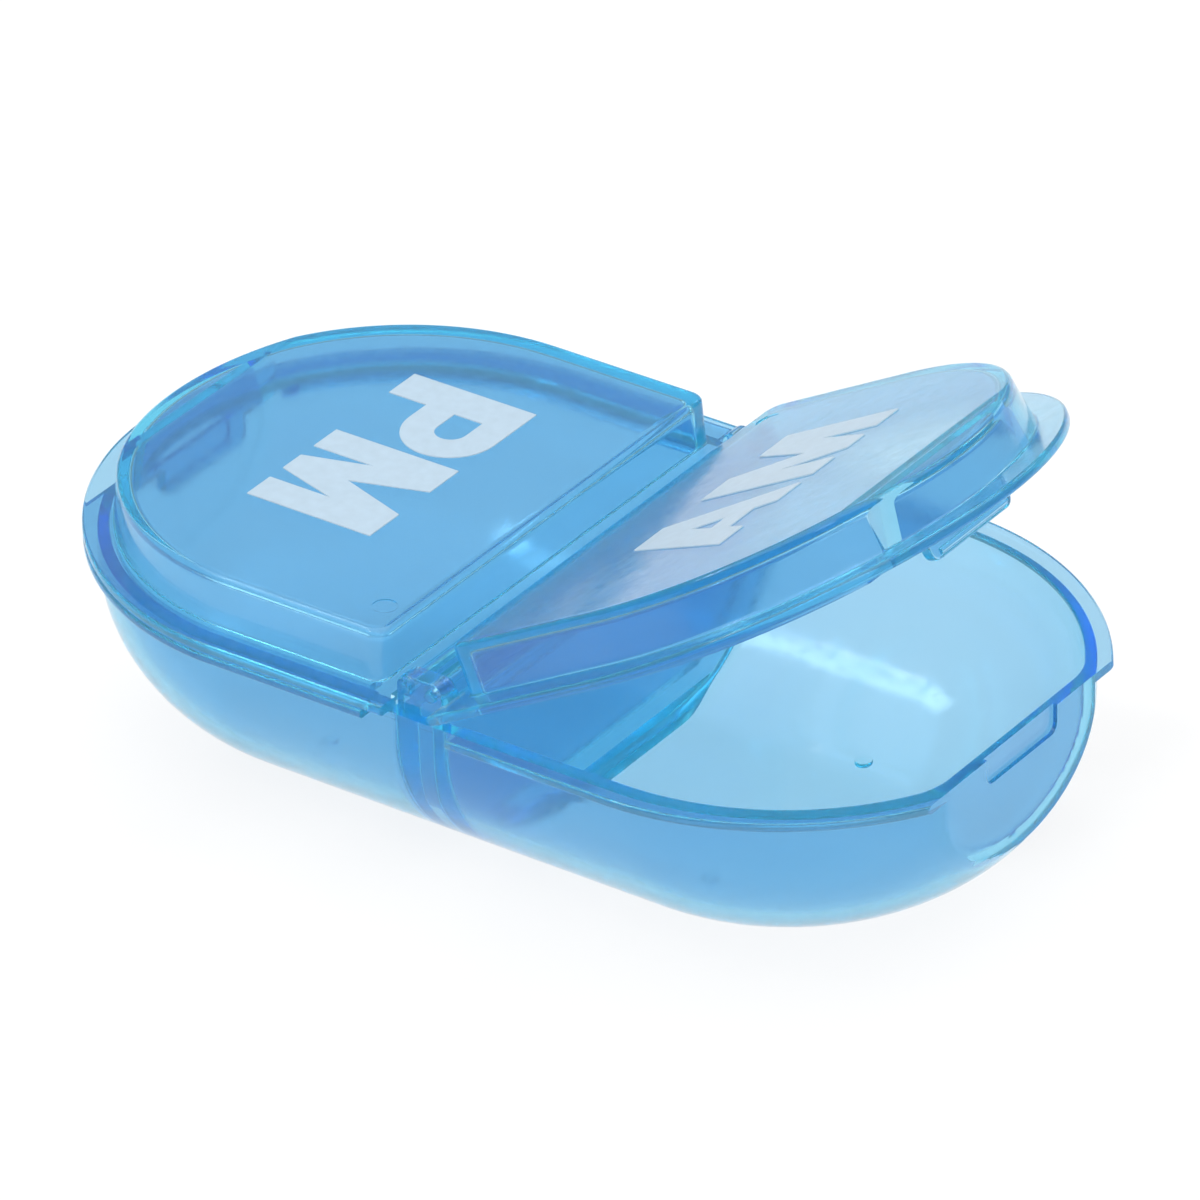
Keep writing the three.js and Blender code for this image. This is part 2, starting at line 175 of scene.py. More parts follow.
def sizes():
    """The plan, tray and lid sizes in millimetres."""
    scene = bpy.context.scene
    return [Millimetres(group) for group in (scene.pill_box_plan, scene.pill_box_tray, scene.pill_box_lid)]


# ---------------------------------------------------------------- meshes, in millimetres


def solid(name, vertices, faces):
    """A closed mesh object with its faces turned outwards."""
    mesh = bpy.data.meshes.new(name)
    mesh.from_pydata([tuple(v) for v in vertices], [], faces)
    tidy(mesh)
    made = bpy.data.objects.new(name, mesh)
    bpy.context.scene.collection.objects.link(made)
    return made


def tidy(mesh, reach=1e-4):
    """Merges points nearer than reach and turns every face outwards."""
    work = bmesh.new()
    work.from_mesh(mesh)
    bmesh.ops.remove_doubles(work, verts=work.verts, dist=reach)
    bmesh.ops.dissolve_degenerate(work, edges=work.edges, dist=reach)
    bmesh.ops.recalc_face_normals(work, faces=work.faces)
    work.to_mesh(mesh)
    work.free()


def loft(name, rings):
    """A closed skin over a stack of rings that all have the same number of points."""
    count = len(rings[0])
    vertices = np.concatenate(rings)
    faces = [list(range(count))[::-1]]
    for level in range(len(rings) - 1):
        a, b = level * count, (level + 1) * count
        faces += [[a + i, a + (i + 1) % count, b + (i + 1) % count, b + i] for i in range(count)]
    faces.append(list(range((len(rings) - 1) * count, len(rings) * count)))
    return solid(name, vertices, faces)


def box(name, x0, x1, y0, y1, z0, z1):
    """A plain block between two corners."""
    corners = [(x0, y0), (x1, y0), (x1, y1), (x0, y1)]
    return loft(name, [np.array([(x, y, z) for x, y in corners]) for z in (z0, z1)])


def quarter(steps):
    """Angles of a quarter turn."""
    return [math.pi / 2 * i / steps for i in range(steps + 1)]


def both_rounded(first, second, radius):
    """Signed distance of what lies inside two shapes, with the corner between them rounded."""
    corner = np.hypot(np.maximum(first + radius, 0), np.maximum(second + radius, 0))
    return np.minimum(np.maximum(first, second), -radius) + corner


def plan_distance(x, y, half, radius, inner_x, outer_x, corner):
    """Signed distance to a round-ended plan that is cut off square at inner_x and outer_x."""
    widest_outer_corner = 0.8
    strip = np.hypot(np.maximum(np.abs(x) - half, 0), y) - radius
    inner_cut = both_rounded(strip, inner_x - x, corner)
    return both_rounded(inner_cut, x - outer_x, min(corner, widest_outer_corner))


def plan_outline(angles, middle, **plan):
    """Points where rays from the middle leave the plan, found by halving the stretch they lie in."""
    outside, halvings = 200.0, 48
    near, far = np.zeros_like(angles), np.full_like(angles, outside)
    for _ in range(halvings):
        reach = (near + far) / 2
        inside = plan_distance(middle + reach * np.cos(angles), reach * np.sin(angles), **plan) < 0
        near, far = np.where(inside, reach, near), np.where(inside, far, reach)
    return np.stack([middle + near * np.cos(angles), near * np.sin(angles)], -1)


def even_angles(middle, **plan):
    """Ray angles that crowd towards the plan's corners, so that they come out round."""
    trial_rays, corner_weight = 3601, 8
    angles = np.linspace(0, 2 * math.pi, trial_rays)
    points = plan_outline(angles, middle, **plan)
    steps = np.diff(points, axis=0)
    heading = np.unwrap(np.arctan2(steps[:, 1], steps[:, 0]))
    turning = np.abs(np.diff(heading, append=heading[-1]))
    lengths = np.hypot(steps[:, 0], steps[:, 1])
    weight = np.concatenate([[0], np.cumsum(lengths + corner_weight * turning)])
    return np.interp(np.linspace(0, weight[-1], RING_POINTS, endpoint=False), weight, angles)


def plan_body(name, levels, half, inner_x, outer_x, corner, middle):
    """A body made of plans above each other. levels holds (radius, step in from the walls, height)."""
    rings = []
    for radius, step, height in levels:
        plan = {"half": half, "radius": radius, "corner": corner}
        plan |= {"inner_x": inner_x + step, "outer_x": outer_x - step}
        ring = plan_outline(even_angles(middle, **plan), middle, **plan)
        rings.append(np.column_stack([ring, np.full(len(ring), height)]))
    return loft(name, rings)


def prism(name, outline, start, stop, edge, along):
    """An outline drawn in the two axes that are not along, drawn out with softened ends."""
    outline = np.array(outline, float)
    centre = (outline.min(0) + outline.max(0)) / 2
    span = np.maximum(outline.max(0) - outline.min(0), 1e-6)
    rings = []
    turns = quarter(3) if edge > 0 else [math.pi / 2]
    ends = [(start, 1, turns), (stop, -1, turns[::-1])]
    for end, way, steps in ends:
        for turn in steps:
            shrink = 1 - 2 * edge * (1 - math.sin(turn)) / span
            flat = centre + (outline - centre) * shrink
            place = np.full(len(flat), end + way * edge * (1 - math.cos(turn)))
            rings.append(np.insert(flat, along, place, axis=1))
    return loft(name, rings)


def circle(x, z, radius, count=40):
    """A round outline."""
    turns = np.linspace(0, 2 * math.pi, count, endpoint=False)
    return np.column_stack([x + radius * np.cos(turns), z + radius * np.sin(turns)])


def bar(name, radius, x, z, y0, y1, edge=0.0):
    """A round bar along Y."""
    return prism(name, circle(x, z, radius), y0, y1, edge, along=1)


def tab_outline(half_width, bottom, top, corner):
    """A tab in the Y-Z plane with rounded lower corners."""
    left = [
        (-half_width + corner - corner * math.cos(a), bottom + corner - corner * math.sin(a))
        for a in quarter(8)
    ]
    right = [(-y, z) for y, z in reversed(left)]
    return [(-half_width, top), *left, *right, (half_width, top)][::-1]


def combine(body, others, operation):
    """Joins other solids to the body, or cuts them away, and removes them."""
    for other in others:
        step = body.modifiers.new("join", "BOOLEAN")
        step.operation = operation
        step.solver = "MANIFOLD"
        step.object = other
        settle(body)
        bpy.data.objects.remove(other)
    return body


def settle(piece):
    """Turns a piece's modifiers into plain mesh."""
    seen = piece.evaluated_get(bpy.context.evaluated_depsgraph_get())
    mesh = bpy.data.meshes.new_from_object(seen)
    piece.modifiers.clear()
    piece.data = mesh
    return piece


# ---------------------------------------------------------------- node trees


def add_node(tree, kind, settings=None, **links):
    """Adds a node with its settings; a link or a value goes to each named or numbered input."""
    made = tree.nodes.new(kind)
    for key, value in (settings or {}).items():
        setattr(made, key, value)
    for key, value in links.items():
        socket = made.inputs[int(key[1:]) if key[1:].isdigit() else key.replace("_", " ")]
        if isinstance(value, bpy.types.NodeSocket):
            tree.links.new(value, socket)
        else:
            socket.default_value = value
    return made


def round_ended_tree():
    """Node tree that carries a side profile round the box's plan."""
    tree = bpy.data.node_groups.new("round_ended_body", "GeometryNodeTree")
    tree.interface.new_socket("Profile", in_out="INPUT", socket_type="NodeSocketGeometry")
    for label, kind, default in (
        ("Half Straight", "Float", 20.5),
        ("End Roundness", "Float", 2.0),
        ("Points Around", "Int", SWEEP_POINTS),
    ):
        socket = tree.interface.new_socket(label, in_out="INPUT", socket_type="NodeSocket" + kind)
        socket.default_value = default
    tree.interface.new_socket("Material", in_out="INPUT", socket_type="NodeSocketMaterial")
    tree.interface.new_socket("Body", in_out="OUTPUT", socket_type="NodeSocketGeometry")
    given = tree.nodes.new("NodeGroupInput").outputs

    merge_within, smallest = 0.004, 1e-4

    def sum_of(operation, a, b=0.0):
        return add_node(tree, "ShaderNodeMath", {"operation": operation}, _0=a, _1=b).outputs[0]

    # The path is a small circle whose two halves are moved apart.
    circle_path = add_node(
        tree, "GeometryNodeCurvePrimitiveCircle", Resolution=given["Points Around"], Radius=1.0
    ).outputs["Curve"]
    half_step = sum_of("DIVIDE", math.pi, given["Points Around"])
    turn = add_node(tree, "ShaderNodeCombineXYZ", Z=half_step)
    turned = add_node(tree, "GeometryNodeTransform", Geometry=circle_path, Rotation=turn.outputs[0])
    place = add_node(tree, "GeometryNodeInputPosition").outputs[0]
    axes = add_node(tree, "ShaderNodeSeparateXYZ", Vector=place).outputs
    apart = sum_of("MULTIPLY", sum_of("SIGN", axes["X"]), given["Half Straight"])
    apart_vector = add_node(tree, "ShaderNodeCombineXYZ", X=apart)
    path = add_node(
        tree, "GeometryNodeSetPosition", Geometry=turned.outputs[0], Offset=apart_vector.outputs[0]
    )
    # A level sweep keeps the profile upright all the way round.
    level = add_node(tree, "GeometryNodeSetCurveNormal", {"mode": "Z_UP"}, Curve=path.outputs[0])
    side = add_node(tree, "GeometryNodeMeshToCurve", Mesh=given["Profile"])
    skin = add_node(tree, "GeometryNodeCurveToMesh", Curve=level.outputs[0], _1=side.outputs[0])
    closed = add_node(
        tree, "GeometryNodeMergeByDistance", Geometry=skin.outputs[0], Distance=merge_within
    )

    # The ends' shoulders are pulled in: |x|^p + |y|^p is the same all round an end.
    low = sum_of("MULTIPLY", given["Half Straight"], -1.0)
    along = add_node(tree, "ShaderNodeClamp", Value=axes["X"], Min=low, Max=given["Half Straight"]).outputs[0]
    out_x = sum_of("SUBTRACT", axes["X"], along)
    squares = [sum_of("MULTIPLY", part, part) for part in (out_x, axes["Y"])]
    reach = sum_of("MAXIMUM", sum_of("SQRT", sum_of("ADD", *squares)), smallest)
    shares = [
        sum_of("POWER", sum_of("DIVIDE", sum_of("ABSOLUTE", part), reach), given["End Roundness"])
        for part in (out_x, axes["Y"])
    ]
    root = sum_of("DIVIDE", -1.0, given["End Roundness"])
    pull = sum_of("POWER", sum_of("MAXIMUM", sum_of("ADD", *shares), smallest), root)
    new_x = sum_of("ADD", along, sum_of("MULTIPLY", out_x, pull))
    new_y = sum_of("MULTIPLY", axes["Y"], pull)
    shaped = add_node(tree, "ShaderNodeCombineXYZ", X=new_x, Y=new_y, Z=axes["Z"])
    pulled = add_node(
        tree, "GeometryNodeSetPosition", Geometry=closed.outputs[0], Position=shaped.outputs[0]
    )
    real = add_node(tree, "GeometryNodeRealizeInstances", Geometry=pulled.outputs[0])
    painted = add_node(
        tree, "GeometryNodeSetMaterial", Geometry=real.outputs[0], Material=given["Material"]
    )
    tree.links.new(painted.outputs[0], tree.nodes.new("NodeGroupOutput").inputs[0])
    return tree


def run_nodes(piece, tree, values):
    """Gives a piece a node tree with these named inputs, and turns the result into plain mesh."""
    step = piece.modifiers.new("nodes", "NODES")
    step.node_group = tree
    sockets = {item.name: item.identifier for item in tree.interface.items_tree if item.in_out == "INPUT"}
    for label, value in values.items():
        step[sockets[label]] = value
    settle(piece)
    tidy(piece.data)
    return piece


def round_ended_body(name, profile, half, roundness=2.0):
    """Carries a profile of (radius, height) points round the plan; it starts and ends on the axis."""
    # The tree's path has a radius of 1, so the profile is drawn from there.
    points = [(radius - 1.0, -height, 0.0) for radius, height in profile]
    mesh = bpy.data.meshes.new(name)
    mesh.from_pydata(points, [(i, i + 1) for i in range(len(points) - 1)], [])
    made = bpy.data.objects.new(name, mesh)
    bpy.context.scene.collection.objects.link(made)
    tree = bpy.data.node_groups.get("round_ended_body") or round_ended_tree()
    values = {"Half Straight": half, "End Roundness": roundness, "Points Around": SWEEP_POINTS}
    return run_nodes(made, tree, values)


def plate_profile(radius, bottom, top, edge):
    """Side profile of a flat plate with a softened edge."""
    lower = [(radius - edge * (1 - math.sin(a)), bottom + edge * (1 - math.cos(a))) for a in quarter(4)]
    upper = [(radius - edge * (1 - math.cos(a)), top - edge * (1 - math.sin(a))) for a in quarter(4)]
    return [(0, bottom), *lower, *upper, (0, top)]


def bowl_profile(flat_radius, width, bottom, height, roundness):
    """Points from the edge of a bowl's flat bottom up to its upright side."""
    steps = 26
    points = []
    for i in range(steps + 1):
        angle = i / steps * math.pi / 2
        outwards = math.sin(angle) ** (2 / roundness)
        downwards = math.cos(angle) ** (2 / roundness)
        points.append((flat_radius + width * outwards, bottom + height * (1 - downwards)))
    return points


# ---------------------------------------------------------------- materials


def spread(low, high):
    """Map Range values that carry a noise's usual reach to low and high."""
    return {"From_Min": 0.3, "From_Max": 0.7, "To_Min": low, "To_Max": high}


def plastic_material():
    """Injection moulded translucent polypropylene from a polished mould.

    One wall seen square on is a pale blue, and an edge seen along its length is a deep one, because
    the tint at each surface is weak and the body soaks up red over its whole path.
    """
    found = bpy.data.materials.get("moulded translucent polypropylene")
    if found:
        return found
    finish = bpy.context.scene.pill_box_finish
    made = bpy.data.materials.new("moulded translucent polypropylene")
    made.use_nodes = True
    tree = made.node_tree
    tree.nodes.clear()
    place = add_node(tree, "ShaderNodeTexCoord").outputs["Object"]
    # Slow waves, about 9 mm across, are the mould's polish. The grain is the melt's flow, drawn about
    # a millimetre across, which is coarser than the real one, so that it shows.
    waves = add_node(tree, "ShaderNodeTexNoise", Vector=place, Scale=110.0, Detail=2.0, Roughness=0.4)
    grain = add_node(tree, "ShaderNodeTexNoise", Vector=place, Scale=900.0, Detail=3.0, Roughness=0.55)
    rough = add_node(tree, "ShaderNodeMapRange", Value=grain.outputs["Fac"], **spread(0.06, 0.15))
    bump = add_node(tree, "ShaderNodeBump", Height=waves.outputs["Fac"], Strength=0.12, Distance=0.0004)
    body = add_node(
        tree,
        "ShaderNodeBsdfPrincipled",
        Base_Color=(*finish.plastic, 1),
        Roughness=rough.outputs[0],
        IOR=1.47,
        Specular_IOR_Level=0.25,
        Transmission_Weight=0.97,
        Normal=bump.outputs[0],
    )
    clear = add_node(tree, "ShaderNodeBsdfTransparent", Color=(0.975, 0.98, 0.985, 1))
    # Lamp light and the room's light reach the floor and the ink nearly unchanged through the plastic,
    # so that the box throws only a faint shade.
    light = add_node(tree, "ShaderNodeLightPath").outputs
    shadow, diffuse = light["Is Shadow Ray"], light["Is Diffuse Ray"]
    shade = add_node(tree, "ShaderNodeMixShader", _0=shadow, _1=body.outputs[0], _2=clear.outputs[0])
    lit = add_node(tree, "ShaderNodeMixShader", _0=diffuse, _1=shade.outputs[0], _2=clear.outputs[0])
    soak = add_node(tree, "ShaderNodeVolumeAbsorption", Color=(*finish.depth, 1), Density=240.0)
    passing = add_node(tree, "ShaderNodeMath", {"operation": "MAXIMUM"}, _0=shadow, _1=diffuse)
    depth = add_node(tree, "ShaderNodeMixShader", _0=passing.outputs[0], _1=soak.outputs[0])
    add_node(tree, "ShaderNodeOutputMaterial", Surface=lit.outputs[0], Volume=depth.outputs[0])
    return made


def ink_material():
    """Pad-printed white ink: a thin, slightly uneven film that lets a little of the blue through."""
    found = bpy.data.materials.get("pad-printed white ink")
    if found:
        return found
    finish = bpy.context.scene.pill_box_finish
    made = bpy.data.materials.new("pad-printed white ink")
    made.use_nodes = True
    tree = made.node_tree
    tree.nodes.clear()
    place = add_node(tree, "ShaderNodeTexCoord").outputs["Object"]
    # Thin spots in the ink, about a millimetre across.
    thin = add_node(tree, "ShaderNodeTexNoise", Vector=place, Scale=900.0, Detail=3.0, Roughness=0.5)
    tone = add_node(tree, "ShaderNodeMapRange", Value=thin.outputs["Fac"], **spread(0.93, 1.0))
    shade = add_node(
        tree, "ShaderNodeMix", {"data_type": "RGBA", "blend_type": "MULTIPLY"}, _0=1.0, _6=(*finish.ink, 1)
    )
    tree.links.new(tone.outputs[0], shade.inputs[7])
    body = add_node(
        tree, "ShaderNodeBsdfPrincipled", Base_Color=shade.outputs[2], Roughness=0.35, IOR=1.5, Alpha=0.72
    )
    add_node(tree, "ShaderNodeOutputMaterial", Surface=body.outputs[0])
    return made


# ---------------------------------------------------------------- pieces


def finish_piece(piece, name, material, body, nodes):
    """Sizes a piece to metres, gives it its finish, and hands it to the body that carries it."""
    merge_within, sharp_past = 2e-3, 32
    piece.name = name
    piece.data.name = name
    tidy(piece.data, merge_within)
    piece.data.transform(Matrix.Scale(0.001, 4))
    piece.data.materials.clear()
    piece.data.materials.append(material)
    piece.data.shade_smooth()
    piece.data.set_sharp_from_angle(angle=math.radians(sharp_past))
    # Wide flat faces keep their own direction, and only the narrow rounds between them bend the light.
    flatter = piece.modifiers.new("normals", "WEIGHTED_NORMAL")
    flatter.keep_sharp = True
    flatter.weight = 100
    settle(piece)
    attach(piece, body)
    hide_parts(*nodes)


def build_tray():
    """The tray as one solid, in millimetres."""
    plan, tray, lid = sizes()
    half = plan.straight_length / 2
    rim = plan.inner_radius + plan.wall
    end_x = half + plan.flange_radius - tray.end_inset
    end_inner = end_x - plan.wall
    hinge_x, hinge_z = HINGE_X * 1000, HINGE_Z * 1000
    rim_round, flange_round = 0.25, 0.28
    notch_from, notch_to = 25.9, 78.9

    outer = bowl_profile(tray.base_radius, rim - tray.base_radius, 0, tray.bowl_height, tray.bowl_roundness)
    top = plan.tray_height
    top_edge = [
        (rim - rim_round * (1 - math.cos(a)), top - rim_round * (1 - math.sin(a))) for a in quarter(3)
    ]
    body = round_ended_body("tray", [(0, 0), *outer, *top_edge, (0, top)], half)
    edge = plate_profile(plan.flange_radius, top - tray.flange, top, flange_round)
    flange = round_ended_body("flange", edge, half, plan.end_roundness)
    notches = []
    for side in (-1, 1):
        y0, y1 = sorted((side * notch_from, side * notch_to))
        notches.append(box("notch", -lid.hinge_wall, lid.hinge_wall, y0, y1, 0, FAR))
    combine(flange, notches, "DIFFERENCE")
    combine(body, [flange], "UNION")
    combine(body, [box("ends", -end_x, end_x, -FAR, FAR, -1, FAR)], "INTERSECT")

    # The two compartments and the slot between the divider's walls.
    flare, room_corner, room_middle = 0.2, 0.9, 22.0
    foot_round, foot_height = 0.9, 1.6
    slot_round, slot_corner = 0.6, 0.3
    inside = bowl_profile(
        tray.base_radius,
        plan.inner_radius - tray.base_radius,
        tray.floor,
        tray.bowl_height - tray.floor,
        tray.bowl_roundness,
    )
    mouth = [
        (plan.inner_radius + flare * (1 - math.cos(a)), top - flare + flare * math.sin(a)) for a in quarter(3)
    ]
    levels = []
    for radius, height in [*inside, *mouth, (plan.inner_radius + flare, top + 4)]:
        foot = foot_round * max(0, 1 - (height - tray.floor) / foot_height) ** 2
        levels.append((radius, foot, height))
    cuts = []
    for turn in (0, math.pi):
        room = plan_body("room", levels, half, tray.divider / 2, end_inner, room_corner, room_middle)
        room.data.transform(Matrix.Rotation(turn, 4, "Z"))
        cuts.append(room)
    slot_levels = [
        (min(radius, tray.lug_inner), 0, height) for radius, _, height in levels if height > tray.slot_floor
    ]
    slot_levels.insert(0, (slot_levels[0][0] - slot_round, 0, tray.slot_floor))
    cuts.append(plan_body("slot", slot_levels, half, -tray.slot / 2, tray.slot / 2, slot_corner, 0.0))
    combine(body, cuts, "DIFFERENCE")

    # Saddle under the hinge, the lugs and their pin holes.
    bar_clearance, lug_root, lug_round, hole_reach = 0.25, 1.5, 0.2, 28
    saddle = hinge_z - math.hypot(lid.barrel, hinge_z - top - lid.seat) - bar_clearance
    over = box("saddle", -lid.hinge_wall, lid.hinge_wall, -FAR, FAR, saddle, FAR)
    combine(body, [over], "DIFFERENCE")
    arch = [(hinge_x + tray.lug_radius, saddle - lug_root)]
    for a in quarter(10):
        arch.append((hinge_x + tray.lug_radius * math.cos(a), hinge_z + tray.lug_radius * math.sin(a)))
    arch += [(-x, z) for x, z in reversed(arch)]
    lugs = []
    for side in (-1, 1):
        y0, y1 = sorted((side * tray.lug_inner, side * tray.lug_outer))
        lugs.append(prism("lug", arch, y0, y1, lug_round, along=1))
    combine(body, lugs, "UNION")
    holes = [
        bar("hole", tray.pin_hole, x, hinge_z, -hole_reach, hole_reach) for x in (-hinge_x, hinge_x)
    ]
    combine(body, holes, "DIFFERENCE")

    # Thumb recess outside each end wall, and the floor's moulded pips.
    recess_corner = 0.9
    pip_x, pip_y, pip_radius, pip_rise, pip_root, pip_round = 19.9, 11.7, 0.8, 0.5, 0.6, 0.15
    recess = tab_outline(tray.recess_width / 2, top - tray.recess_height, top + 1, recess_corner)
    for end in (-1, 1):
        x0, x1 = sorted((end * (end_x - tray.recess_depth), end * (end_x + 1)))
        combine(body, [prism("recess", recess, x0, x1, 0, along=0)], "DIFFERENCE")
    pips = []
    for x in (-pip_x, pip_x):
        for y in (-pip_y, pip_y):
            low, high = tray.floor - pip_root, tray.floor + pip_rise
            pips.append(prism("pip", circle(x, y, pip_radius), low, high, pip_round, along=2))
    combine(body, pips, "UNION")
    return body


def lower_facet(piece, lid, start_x, foot):
    """Slopes the far end of a cap down from a straight crease."""
    work = bmesh.new()
    work.from_mesh(piece.data)
    everything = [*work.verts, *work.edges, *work.faces]
    bmesh.ops.bisect_plane(
        work, geom=everything, plane_co=(start_x, 0, 0), plane_no=(1, 0, 0), dist=1e-4
    )
    top = max(v.co.z for v in work.verts)
    for v in work.verts:
        past = max(0.0, v.co.x - start_x) / lid.facet
        share = max(0.0, v.co.z - foot) / (top - foot)
        v.co.z -= lid.facet_drop * past * share
    work.to_mesh(piece.data)
    work.free()


def build_lid():
    """A lid shut on the +X side as one solid, in millimetres."""
    plan, tray, lid = sizes()
    half = plan.straight_length / 2
    hinge_x, hinge_z = HINGE_X * 1000, HINGE_Z * 1000
    flange_round, foot_round, inner_round = 0.3, 0.25, 0.5
    cap_corner, hollow_corner, middle = 1.3, 0.9, 24.0
    hinge_draft = 0.1
    bottom = plan.tray_height + lid.seat
    shelf_top = bottom + lid.flange
    top = shelf_top + lid.rise
    facet_x = half + lid.foot_radius - lid.draft - lid.facet

    edge = plate_profile(plan.flange_radius, bottom, shelf_top, flange_round)
    body = round_ended_body("lid", edge, half, plan.end_roundness)
    combine(body, [box("half", lid.shelf, FAR, -FAR, FAR, 0, FAR)], "INTERSECT")

    # The raised cap, with a fillet at its foot and a round along its upper edge.
    levels = [(lid.foot_radius + foot_round, -foot_round, shelf_top - sunk) for sunk in (0.3, 0.1)]
    for a in quarter(3):
        out = foot_round * (1 - math.sin(a))
        levels.append((lid.foot_radius + out, -out, shelf_top + foot_round * (1 - math.cos(a))))
    top_radius = lid.foot_radius - lid.draft
    for a in quarter(6):
        step = lid.edge * (1 - math.cos(a))
        levels.append((top_radius - step, hinge_draft + step, top - lid.edge + lid.edge * math.sin(a)))
    cap = plan_body("cap", levels, half, lid.hinge_wall, FAR, cap_corner, middle)
    lower_facet(cap, lid, facet_x, shelf_top)
    combine(body, [cap], "UNION")

    # Locating lip, whose inner face the hollow cuts.
    latch_gap, tongue_thickness, lip_gap, lip_round, spare = 0.65, 1.0, 0.25, 0.2, 0.5
    end_inner = half + plan.flange_radius - tray.end_inset - plan.wall
    tongue_outer = end_inner - latch_gap
    tongue_inner = tongue_outer - tongue_thickness
    lip_radius = plan.inner_radius - lip_gap
    edge = plate_profile(lip_radius, bottom - lid.lip_depth, bottom + spare, lip_round)
    lip = round_ended_body("lip", edge, half)
    edge = plate_profile(lip_radius - lid.lip - spare, bottom - 3, bottom + 3, 0)
    combine(lip, [round_ended_body("room", edge, half)], "DIFFERENCE")
    window = box("window", lid.hinge_wall + plan.wall, tongue_inner, -FAR, FAR, 0, FAR)
    combine(lip, [window], "INTERSECT")
    combine(body, [lip], "UNION")

    # The cap's hollow, a little wider at its mouth.
    inner_foot = lid.foot_radius - plan.wall
    inner_top = top_radius - plan.wall
    mouth = 0.1
    levels = [
        (inner_foot + mouth, 0, bottom - 3),
        (inner_foot + mouth, 0, bottom - 0.2),
        (inner_foot, 0, bottom + 0.6),
    ]
    for a in quarter(4):
        step = inner_round * (1 - math.cos(a))
        height = top - plan.wall - inner_round + inner_round * math.sin(a)
        levels.append((inner_top - step, hinge_draft + step, height))
    hollow = plan_body("hollow", levels, half, lid.hinge_wall + plan.wall, FAR, hollow_corner, middle)
    lower_facet(hollow, lid, facet_x, shelf_top)
    combine(body, [hollow], "DIFFERENCE")

    # Web across the far end, and the tongue below it with its bead.
    into_wall, tongue_root, tongue_corner, tongue_round = 0.6, 1.5, 1.0, 0.15
    web_half = math.sqrt((inner_foot + into_wall) ** 2 - (tongue_outer - half) ** 2)
    web = box("web", tongue_inner, tongue_outer, -web_half, web_half, bottom + 0.05, top - plan.wall)
    combine(body, [web], "UNION")
    tongue_end = bottom - lid.tongue_depth
    outline = tab_outline(lid.tongue_width / 2, tongue_end, bottom + tongue_root, tongue_corner)
    tongue = prism("tongue", outline, tongue_inner, tongue_outer, tongue_round, along=0)
    combine(body, [tongue], "UNION")
    bead_radius, bead_round, bead_up, bead_in = 0.3, 0.1, 0.6, 1.0
    bead_half = lid.tongue_width / 2 - bead_in
    bead_z = tongue_end + bead_up
    bead = bar("bead", bead_radius, tongue_outer, bead_z, -bead_half, bead_half, bead_round)
    combine(body, [bead], "UNION")

    # Shallow round mark of the mould's gate, in the cap's top near one hinge corner.
    gate_x, gate_y, gate_radius, gate_depth = 7.0, 20.0, 1.1, 0.08
    mark = circle(gate_x, gate_y, gate_radius)
    combine(body, [prism("gate", mark, top - gate_depth, top + 1, 0, along=2)], "DIFFERENCE")

    # Room round the lugs, then the hinge bar and its pins.
    lug_gap, over_lug, pin_past, pin_round = 0.35, 0.9, 0.4, 0.15
    room_x = hinge_x + tray.lug_radius + lug_gap
    rooms = []
    for side in (-1, 1):
        y0, y1 = sorted((side * (tray.lug_inner - lug_gap), side * (tray.lug_outer + lug_gap)))
        rooms.append(box("room", 0, room_x, y0, y1, 0, shelf_top + over_lug))
    combine(body, rooms, "DIFFERENCE")
    reach = tray.lug_inner - lug_gap
    back, front = hinge_x - lid.barrel, hinge_x + lid.barrel
    # Steps of a few hundredths of a millimetre keep the blocks' faces from lying in one plane.
    foot = box("foot", back, lid.shelf + 0.5, -reach, reach, bottom, shelf_top - 0.02)
    post = box("post", back, front, -reach, reach, bottom + 0.01, hinge_z)
    barrel = bar("barrel", lid.barrel, hinge_x, hinge_z, -reach, reach)
    combine(foot, [post, barrel], "UNION")
    pin_end = tray.lug_outer + pin_past
    combine(foot, [bar("pin", lid.pin, hinge_x, hinge_z, -pin_end, pin_end, pin_round)], "UNION")
    combine(body, [foot], "UNION")
    return body


def place_lid(piece, side):
    """Puts a lid built shut on the +X side where the frame has it. side is +1 for AM and -1 for PM."""
    if side > 0:
        pivot = Vector((HINGE_X * 1000, 0, HINGE_Z * 1000))
        turn = Matrix.Rotation(-AM_OPENING, 4, "Y")
        piece.data.transform(Matrix.Translation(pivot) @ turn @ Matrix.Translation(-pivot))
    else:
        piece.data.transform(Matrix.Rotation(math.pi, 4, "Z"))


class PILLBOX_OT_tray(bpy.types.Operator):
    """Build the tray with its divider, end walls and hinge lugs"""

    bl_idname = "pillbox.tray"
    bl_label = "Tray"

    def execute(self, context):
        finish_piece(build_tray(), "tray_moulding", plastic_material(), "tray", ["tray"])
        return {"FINISHED"}


class PILLBOX_OT_lids(bpy.types.Operator):
    """Build both lids with their hinge bars and latch tongues"""

    bl_idname = "pillbox.lids"
    bl_label = "Lids"

    def execute(self, context):
        for node, side in (("pm_lid", -1), ("am_lid", 1)):
            piece = build_lid()
            place_lid(piece, side)
            finish_piece(piece, node + "_moulding", plastic_material(), node, [node])
        return {"FINISHED"}


class PILLBOX_OT_letters(bpy.types.Operator):
    """Print the letters on the lids"""

    bl_idname = "pillbox.letters"
    bl_label = "Letters"

    def execute(self, context):
        for node in ("pm_legend_p", "pm_legend_m", "am_legend_a", "am_legend_m"):
            printed = frame["nodes"][node]
            printed.data.materials.clear()
            printed.data.materials.append(ink_material())
        return {"FINISHED"}


